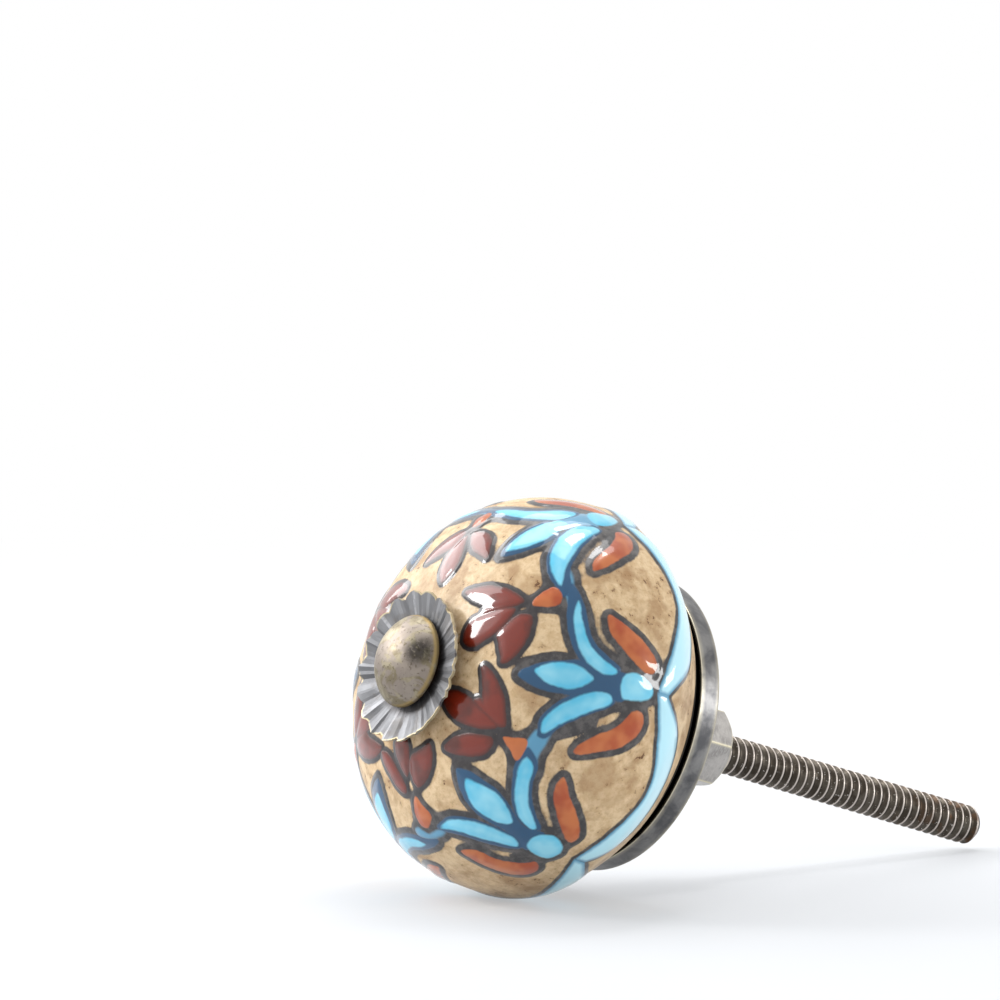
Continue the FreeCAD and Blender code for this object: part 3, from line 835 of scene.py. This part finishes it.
def makeBoltFinish():
    finish = Finish("agedBoltBrass", Metallic=1.0)
    patina = finish.noise(1.8, 4.0, 0.6, 0.5)
    fine = finish.noise(0.4, 3.0, 0.6)
    wearAndHighlight = finish.attribute("wearAndHighlight")
    groove = finish.attribute("groove")
    darkPatch = finish.attribute("darkPatch")
    threaded = finish.attribute("threaded")
    cloud = finish.noise(2.6, 3.0, 0.6, 0.8)
    brass = finish.mix(patina.ramp(0.38, 0.6), boltPaint["brass"], boltPaint["brassDark"])
    brass = finish.mix(cloud.ramp(0.46, 0.54) * 0.75, brass, boltPaint["cloud"])
    brass = finish.mix(fine.ramp(0.56, 0.7) * 0.6, brass, boltPaint["speck"])
    brass = finish.mix(darkPatch * fine.ramp(0.1, 0.5) * 0.82, brass, boltPaint["darkPatch"])
    brass = finish.mix(wearAndHighlight * patina.ramp(0.34, 0.56), brass, boltPaint["rim"])
    # painted shade under the dome's rim
    brass = finish.mix(finish.attribute("shadeUnderRim"), brass, boltPaint["paintedUnderRimShade"])
    steel = finish.mix(patina.ramp(0.4, 0.6), boltPaint["steel"], boltPaint["steelDark"])
    # painted highlight: the crests of the thread are painted pale
    crest = groove.ramp(0.2, 0.0) * fine.ramp(0.2, 0.45)
    steel = finish.mix(crest, steel, boltPaint["crest"])
    dust = finish.noise(0.32, 2.0, 0.7).ramp(0.65, 0.7)
    steel = finish.mix(dust * 0.7, steel, boltPaint["dust"])
    rust = finish.attribute("tipRust") * finish.noise(1.4, 4.0).ramp(0.5, 0.64)
    steel = finish.mix(rust * 0.6, steel, boltPaint["rust"])
    finish.set("Base Color", finish.mix(threaded, brass, steel))
    finish.set("Roughness", 0.45 + patina * 0.14 - threaded * 0.08)
    dents = finish.noise(1.6, 3.0, 0.55) * 0.06 * (1 - threaded)
    finish.bump(dents + fine * 0.012)
    return finish


def makeBolt(finish):
    # the dome: an arc that is square to the axis, a thin rim and a narrower neck in its shade
    rimBack = headAt - dome["undercut"]
    rimFront = rimBack - dome["rim"]
    peak = headAt - dome["height"]
    rise = rimFront - peak
    sphere = (dome["radius"] ** 2 + rise ** 2) / (2 * rise)
    reach = math.asin(dome["radius"] / sphere)
    cap = [(sphere * math.sin(a), peak + sphere * (1 - math.cos(a))) for a in np.linspace(0.004, reach, 44)]
    rimTop, rimFoot = (dome["radius"], rimFront), (dome["radius"], rimBack)
    neckTop, neckFoot = (dome["neck"], rimBack + 0.08), (dome["neck"], headAt)
    edge = roundedCorner(rimTop, cap[-6], rimFoot, dome["edgeRounding"], 8)
    foot = roundedCorner(rimFoot, rimTop, neckTop, dome["footRounding"], 4)
    cap = [point for point in cap if point[0] < edge[0][0] - 0.02]
    neck = [neckTop, neckFoot, (thread["shank"], headAt), (thread["shank"], thread["start"])]
    profile = np.concatenate([cap, edge, foot, neck])
    sides = dome["sides"]
    points = lathe(profile, sides)
    count = len(points)
    faces = gridFaces(len(profile), sides)
    points = np.concatenate([points, [(0.0, peak, 0.0)]])
    faces += [(count, (column + 1) % sides, column) for column in range(sides)]
    radius = np.hypot(points[:, 0], points[:, 2])
    head = points[:, 1] < headAt + 0.01
    # the rim is worn bright in front, and painted shade darkens it underneath
    wearAndHighlight = smoothStep(radius, dome["radius"] - 0.26, dome["radius"] - 0.08) * (points[:, 1] < rimBack - 0.08)
    shadeUnderRim = smoothStep(points[:, 1], rimBack - 0.14, rimBack) * head
    # a dark patch is painted on the dome towards +X
    (patchX, patchZ), (patchWide, patchHigh) = dome["darkPatchAt"], dome["darkPatchSize"]
    away = np.hypot((points[:, 0] - patchX) / patchWide, (points[:, 2] - patchZ) / patchHigh)
    darkPatch = (1 - smoothStep(away, 0.3, 1.1)) * head
    plain = 0 * radius
    values = {
        "wearAndHighlight": wearAndHighlight * head * 0.85, "shadeUnderRim": shadeUnderRim, "darkPatch": darkPatch, "groove": plain, "threaded": 1.0 - head,
        "tipRust": plain,
    }

    # the thread: its section is carried round in a helix
    section, around = thread["section"], thread["sides"]
    deepest = thread["major"] - thread["minor"]
    turnsNeeded = int((thread["tip"] - thread["start"]) / thread["pitch"]) + 3
    helix, grooves = [], []
    for turn in range(-1, turnsNeeded):
        for share, low in section:
            for column in range(around):
                along = thread["start"] + thread["pitch"] * (turn + share + column / around)
                along = min(max(along, thread["start"]), thread["tip"])
                chamfer = thread["major"] - thread["tipChamfer"] + (thread["tip"] - along)
                radius = min(thread["major"] - low * deepest, chamfer)
                angle = 2 * math.pi * column / around
                helix.append((radius * math.cos(angle), along, -radius * math.sin(angle)))
                grooves.append(low)
    rows = len(helix) // around
    size = len(points)
    for row in range(rows - 1):
        for column in range(around):
            # the last column meets the first one a whole turn further on
            after = (column + 1) % around
            step = 0 if after else len(section)
            if row + 1 + step >= rows:
                continue
            a, b = size + row * around + column, size + (row + step) * around + after
            faces.append((a, b, b + around, a + around))
    helix = np.array(helix)
    tipIndex = size + len(helix)
    last = size + (rows - 1) * around
    faces += [(tipIndex, last + column, last + (column + 1) % around) for column in range(around)]
    points = np.concatenate([points, helix, [(0.0, thread["tip"], 0.0)]])
    plain = np.zeros(len(helix))
    joined = {
        "wearAndHighlight": plain, "shadeUnderRim": plain, "darkPatch": plain, "groove": np.array(grooves), "threaded": plain + 1.0,
        "tipRust": smoothStep(helix[:, 1], thread["rustsFrom"], thread["tip"] - 0.4),
    }
    values = {name: np.concatenate([values[name], more, more[-1:]]) for name, more in joined.items()}
    return makePiece("threadedBolt", points, faces, finish, ("domed_bolt",), 50.0, values)


threadedBolt = makeBolt(makeBoltFinish())

# the rosette washer: radii of its hole, its flat middle and the crests and roots of its rim, how far the
# rim stands in front of the middle, and the height of a pleat and of the creases in it
rosette = {
    "pleats": 18,
    "creases": 6,
    "bore": 2.28,
    "flat": 4.4,
    "crest": 7.74,
    "root": 7.32,
    "lift": 0.75,
    "pleat": 0.16,
    "crease": 0.09,
    "sheet": 0.3,
    "hangs": 0.5,
    "rings": 16,
}
rosettePaint = {
    # facet colours, from painted valley shade to painted ridge light and glint
    "valley": shade(102, 102, 104),
    "ridge": shade(150, 151, 154),
    "paintedGlint": shade(190, 189, 192),
    "patch": shade(110, 104, 98),
    # painted shadow of the dome round the middle
    "middle": shade(62, 56, 54),
    "edge": shade(206, 192, 156),
}


def makeRosetteFinish():
    finish = Finish("greyRosette", Metallic=1.0)
    facetLight = finish.attribute("facetLight")
    rim = finish.attribute("rim")
    fine = finish.noise(0.5, 3.0, 0.6)
    patches = finish.noise(2.2, 3.0, 0.6)
    # painted reflection and shade: each facet is painted lighter or darker, and the lightest get a painted
    # glint
    grey = finish.mix(facetLight, rosettePaint["valley"], rosettePaint["ridge"])
    grey = finish.mix(facetLight.ramp(0.75, 1.0) * fine.ramp(0.35, 0.6) * 0.6, grey, rosettePaint["paintedGlint"])
    grey = finish.mix(patches.ramp(0.52, 0.66) * 0.45, grey, rosettePaint["patch"])
    # painted shadow of the dome: the washer is darkened round its middle
    grey = finish.mix(rim.ramp(0.3, 0.0) * 0.6, grey, rosettePaint["middle"])
    grey = finish.mix(rim.ramp(0.93, 0.98) * patches.ramp(0.4, 0.5) * 0.8, grey, rosettePaint["edge"])
    finish.set("Base Color", grey)
    finish.set("Roughness", 0.54 + fine * 0.1)
    finish.bump(fine * 0.014 + finish.noise(1.4, 2.0) * 0.02)
    return finish


def makeRosette(finish):
    # each pleat is broken by sharp creases, and no two of them are quite alike
    creases = rosette["creases"]
    breaks = rosette["pleats"] * creases
    share = np.arange(breaks) % creases / creases
    main = 1 - np.abs(2 * share - 1)
    main = np.clip(main + randomNumbers.uniform(-0.14, 0.14, breaks), 0, 1)
    heights = (main - 0.5) * 2 * rosette["pleat"] + randomNumbers.uniform(-1, 1, breaks) * rosette["crease"]
    reaches = rosette["root"] + (rosette["crest"] - rosette["root"]) * np.clip(main * 1.5, 0, 1)
    reaches = reaches + randomNumbers.uniform(-0.13, 0.0, breaks)
    places = np.arange(breaks) + randomNumbers.uniform(-0.28, 0.28, breaks)
    # painted reflection and shade: ridges get lighter facets and valleys darker ones, the rest at random
    facetLights = np.clip(main * 0.5 + randomNumbers.uniform(0, 0.5, breaks), 0, 1)

    # two columns at each break keep the facets between them flat and of one painted shade
    gap = 0.04
    angles = np.stack([places, places + gap], -1).ravel() * 2 * math.pi / breaks
    heights, rims = np.repeat(heights, 2), np.repeat(reaches, 2)
    facetLightValues = np.stack([np.roll(facetLights, 1), facetLights], -1).ravel()
    columns = 2 * breaks
    # from the hole, at -1, over the flat middle's edge, at 0, to the rim, at 1
    shares = np.concatenate([[-1.0], np.linspace(0, 1, rosette["rings"])])
    front, back, rimValues = [], [], []
    for share in shares:
        part = max(share, 0.0)
        radius = rosette["flat"] + (rims - rosette["flat"]) * part
        if share < 0:
            radius = np.full(columns, rosette["bore"])
        height = headAt - rosette["lift"] * part ** 1.15 - heights * min(1.0, part * 1.8)
        ring = np.stack([radius * np.cos(angles), height, -radius * np.sin(angles)], -1)
        front.append(ring)
        back.append(ring + np.array([0, rosette["sheet"], 0]))
        rimValues.append(np.full(columns, part))
    # the washer's hole is wider than the bolt, so it hangs a little low
    points = np.concatenate(front + back[::-1]) - np.array([0, 0, rosette["hangs"]])
    values = {
        "facetLight": np.tile(facetLightValues, 2 * len(shares)),
        "rim": np.concatenate(rimValues + rimValues[::-1]),
    }
    faces = gridFaces(2 * len(shares), columns, closedRows=True)
    replaced = ("rosette_washer",)
    return makePiece("pleatedRosette", points, faces, finish, replaced, 9.0, values)


pleatedRosette = makeRosette(makeRosetteFinish())

plate = {
    "outer": 15.0,
    "inner": 14.62,
    "height": 2.42,
    "floor": 1.0,
    "bore": 2.2,
    "rimRounding": 0.15,
    "backRounding": 0.3,
    "corner": 0.6,
    "sides": 240,
}
platePaint = {
    "bronze": shade(90, 90, 92),
    "bronzePale": shade(134, 133, 132),
    "inside": shade(26, 20, 17),
    "wearAndHighlight": shade(206, 198, 176),
}


def makePlateFinish():
    finish = Finish("darkPlate", Metallic=1.0)
    patina = finish.noise(3.0, 4.0, 0.6, 0.4)
    fine = finish.noise(0.35, 3.0, 0.6)
    wearAndHighlight = finish.attribute("wearAndHighlight")
    inside = finish.attribute("inside")
    bronze = finish.mix(patina.ramp(0.35, 0.68), platePaint["bronze"], platePaint["bronzePale"])
    # the inside of the cup is painted near-black: partly the metal's blackened patina, partly painted shade
    # in the recess behind the knob
    bronze = finish.mix(inside, bronze, platePaint["inside"])
    # the front rim and the back edge are painted pale in patches, partly wear and partly painted highlight
    bronze = finish.mix(wearAndHighlight * finish.noise(1.2, 3.0).ramp(0.2, 0.5), bronze, platePaint["wearAndHighlight"])
    finish.set("Base Color", bronze)
    finish.set("Roughness", 0.3 + patina * 0.14 + inside * 0.3)
    finish.bump(fine * 0.012 + finish.noise(2.5, 2.0) * 0.04)
    return finish


def makePlate(finish):
    outer, inner, height = plate["outer"], plate["inner"], plate["height"]
    floor, rimRounding = plate["floor"], plate["rimRounding"]
    backOut, frontOut = (outer, 0.0), (outer, -height)
    frontIn, floorIn = (inner, -height), (inner, -floor)
    profile = np.concatenate([
        [(plate["bore"], 0.0), (5.0, 0.0), (9.0, 0.0), (12.5, 0.0)],
        roundedCorner(backOut, (0, 0), frontOut, plate["backRounding"], 8),
        [(outer, -y) for y in (0.6, 1.0, 1.4, 1.8)],
        roundedCorner(frontOut, backOut, frontIn, rimRounding, 6),
        roundedCorner(frontIn, frontOut, floorIn, rimRounding, 6),
        roundedCorner(floorIn, frontIn, (0, -floor), plate["corner"], 6),
        [(9.0, -floor), (plate["bore"], -floor)],
    ])
    sides = plate["sides"]
    points = lathe(profile, sides)
    faces = [face[::-1] for face in gridFaces(len(profile), sides, closedRows=True)]
    radius = np.hypot(points[:, 0], points[:, 2])
    forward = -points[:, 1]
    rim = smoothStep(forward, height - 0.2, height - 0.08)
    backEdge = smoothStep(radius, outer - 0.2, outer - 0.04) * (1 - smoothStep(forward, 0.24, 0.34))
    # partly patina, partly painted shade inside the cup
    inside = (radius < inner + 0.02) & (forward > floor - 0.02) & (forward < height - 0.12)
    values = {"wearAndHighlight": np.maximum(rim, backEdge * 0.6), "inside": inside.astype(float)}
    return makePiece("rimmedPlate", points, faces, finish, ("back_plate",), 40.0, values)


rimmedPlate = makePlate(makePlateFinish())

nut = {
    "acrossFlats": 7.5,
    "length": 11.2,
    "chamfer": 0.55,
    "turn": -11.0,
    "bore": 2.03,
    "edge": 0.05,
    "sides": 144,
}
nutPaint = {
    "brass": shade(186, 182, 178),
    "brassDark": shade(156, 152, 149),
    "scratch": shade(200, 197, 192),
    "speck": shade(96, 92, 88),
    "wearAndHighlight": shade(222, 214, 186),
}


def makeNutFinish():
    finish = Finish("agedNutBrass", Metallic=1.0)
    patina = finish.noise(2.0, 4.0, 0.6, 0.4)
    fine = finish.noise(0.3, 3.0, 0.6)
    scratches = finish.noise(0.8, 5.0, 0.7, at=finish.stretched((1.0, 5.0, 1.0)))
    wearAndHighlight = finish.attribute("wearAndHighlight")
    brass = finish.mix(patina.ramp(0.35, 0.65), nutPaint["brass"], nutPaint["brassDark"])
    brass = finish.mix(scratches.ramp(0.5, 0.62) * 0.6, brass, nutPaint["scratch"])
    brass = finish.mix(fine.ramp(0.6, 0.75) * 0.4, brass, nutPaint["speck"])
    # painted highlights: pale cream on the nut's corners, the chamfer's edge and the rear lip
    brass = finish.mix(wearAndHighlight * finish.noise(0.8, 3.0).ramp(0.15, 0.4), brass, nutPaint["wearAndHighlight"])
    finish.set("Base Color", brass)
    finish.set("Roughness", 0.34 + patina * 0.14)
    finish.bump(fine * 0.015 + scratches * 0.02)
    return finish


def makeNut(finish):
    flat = nut["acrossFlats"] / 2
    corner = nut["acrossFlats"] / math.sqrt(3)
    sides = nut["sides"]
    angles = np.arange(sides) * 2 * math.pi / sides
    # the corners lie at 0, 60 and so on before the nut is turned
    fromCorner = np.abs((angles + math.pi / 6) % (math.pi / 3) - math.pi / 6)
    hexagon = np.minimum(flat / np.cos(math.pi / 6 - fromCorner), corner - nut["edge"])
    slope = nut["chamfer"] / (corner - flat)
    length = nut["length"]
    heights = np.concatenate([
        [0.0, 0.08], np.linspace(0.4, length - 1.0, 12), np.linspace(length - 0.9, length, 24),
    ])
    rings, wearAndHighlight = [], []
    edge = smoothStep(hexagon, corner - nut["edge"] - 0.06, corner - nut["edge"])
    for height in heights:
        cone = flat + (length - height) / slope
        radius = np.minimum(hexagon, cone)
        rings.append((radius, np.full(sides, height)))
        # painted highlights along the corners, the chamfer's edge and the rear lip
        nearArc = 1 - smoothStep(np.abs(cone - hexagon), 0.03, 0.1)
        wearAndHighlight.append(np.maximum(edge, nearArc * 0.8))
    rear = np.full(sides, length)
    bore = np.full(sides, nut["bore"])
    rings += [(bore + 1.02, rear), (bore + 0.25, rear), (bore, rear - 0.25), (bore, 0 * rear)]
    wearAndHighlight += [0 * rear, 0 * rear + 0.4, 0 * rear, 0 * rear]
    turned = angles + math.radians(nut["turn"])
    points = np.concatenate([np.stack([r * np.cos(turned), h, -r * np.sin(turned)], -1) for r, h in rings])
    faces = gridFaces(len(rings), sides, closedRows=True)
    values = {"wearAndHighlight": np.concatenate(wearAndHighlight)}
    return makePiece("hexNut", points, faces, finish, ("hex_nut",), 25.0, values)


hexNut = makeNut(makeNutFinish())

# the knob lies on the floor, so the floor's upward direction isn't the knob's
stage = {
    "up": (-0.06036, -0.302, 0.9514),
    "floorSize": 0.9,
    "floorColour": (0.66, 0.68, 0.71),
    "nearWhite": (0.965, 0.98, 1.0),
    "farWhite": (1.0, 1.0, 1.0),
    # the share of white that is the floor's own where it is seen, and metres over which that grows
    "ownWhite": 0.43,
    "ownWhiteGrows": (0.08, 0.3),
    "farWhiteGrows": (0.1, 0.3),
    "world": 0.64,
    "lampsAim": (0.0, -0.008, 0.0),
}

# lamps by the direction that they shine from, their distance, width and height in metres and brightness
lamps = {
    "windowFront": ((-0.58, -0.775, 0.25), 0.7, 0.19, 0.15, 20.0),
    "windowRight": ((0.71, 0.53, 0.46), 0.7, 0.25, 0.11, 15.0),
    "softboxLeft": ((-0.80, -0.46, 0.38), 0.6, 0.55, 0.38, 4.0),
    "skylight": ((-0.25, 0.0, 0.97), 0.8, 0.20, 0.13, 11.0),
    "ceiling": ((-0.40, -0.10, 0.91), 0.8, 0.5, 0.5, 2.6),
}


def shownRays(nodes):
    # 1 for what the camera, a reflection or glass shows, 0 for light that falls on a surface
    seen = nodes.node("ShaderNodeLightPath", output="Is Camera Ray")
    for label in ("Is Glossy Ray", "Is Transmission Ray"):
        seen = seen.most(nodes.node("ShaderNodeLightPath", output=label))
    return seen


def makeStage():
    up = Vector(stage["up"]).normalized()
    # the knob and the tip of the bolt rest on the floor
    lowest = math.inf
    for piece in (glazedKnob, threadedBolt):
        coordinates = np.empty(len(piece.data.vertices) * 3, np.float32)
        piece.data.vertices.foreach_get("co", coordinates)
        lowest = min(lowest, float((coordinates.reshape(-1, 3) @ np.array(up)).min()))
    bpy.ops.mesh.primitive_plane_add(size=stage["floorSize"])
    floor = bpy.context.object
    floor.name = "floor"
    floor.rotation_euler = up.to_track_quat("Z", "Y").to_euler()
    floor.location = up * (lowest - 0.01 * mm)
    finish = Finish("whiteFloor", Roughness=0.6)
    finish.set("Base Color", (*stage["floorColour"], 1.0))
    # where it is seen, part of the floor's white is its own, and more of it away from the knob
    away = finish.node("ShaderNodeVectorMath", {"operation": "LENGTH"}, {0: finish.place()}, "Value")
    own = away.ramp(*stage["ownWhiteGrows"], least=stage["ownWhite"])
    whites = [(*stage[name], 1.0) for name in ("nearWhite", "farWhite")]
    near, far = [finish.node("ShaderNodeEmission", None, {"Color": white}) for white in whites]
    glow = finish.mixShaders(away.ramp(*stage["farWhiteGrows"]), near, far)
    finish.end(finish.mixShaders(shownRays(finish) * own, finish.lit, glow))
    floor.data.materials.append(finish.material)

    world = bpy.data.worlds.new("whiteRoom")
    scene.world = world
    world.use_nodes = True
    sky = Nodes(world.node_tree, "ShaderNodeOutputWorld")
    strength = stage["world"] + shownRays(sky) * (1 - stage["world"])
    white = {"Color": (*stage["farWhite"], 1.0), "Strength": strength}
    sky.end(sky.node("ShaderNodeBackground", None, white))

    aim = Vector(stage["lampsAim"])
    for name, (direction, distance, width, height, brightness) in lamps.items():
        lamp = bpy.data.lights.new(name, "AREA")
        lamp.shape = "RECTANGLE"
        lamp.size, lamp.size_y = width, height
        lamp.energy = math.pi * width * height * brightness
        holder = bpy.data.objects.new(name, lamp)
        holder.location = aim + Vector(direction).normalized() * distance
        holder.rotation_euler = Vector(direction).to_track_quat("Z", "Y").to_euler()
        holder.visible_camera = False
        scene.collection.objects.link(holder)


# the camera's place in millimetres and its turn in degrees, fitted to the photo
view = {
    "place": (956.4, -720.23, 0.0),
    "turn": (90.8976, -16.34195, 53.62949),
    "lens": 432.0,
    "sensor": 36.0,
}


def makeCamera():
    camera = bpy.data.cameras.new("photoCamera")
    camera.lens = view["lens"]
    camera.sensor_width = view["sensor"]
    camera.clip_start, camera.clip_end = 0.01, 20.0
    holder = bpy.data.objects.new("photoCamera", camera)
    holder.location = Vector(view["place"]) * mm
    holder.rotation_euler = Euler([math.radians(angle) for angle in view["turn"]])
    scene.collection.objects.link(holder)
    scene.camera = holder


makeStage()
makeCamera()
scene.view_settings.view_transform = "Standard"
print("stage, lamps and camera made")

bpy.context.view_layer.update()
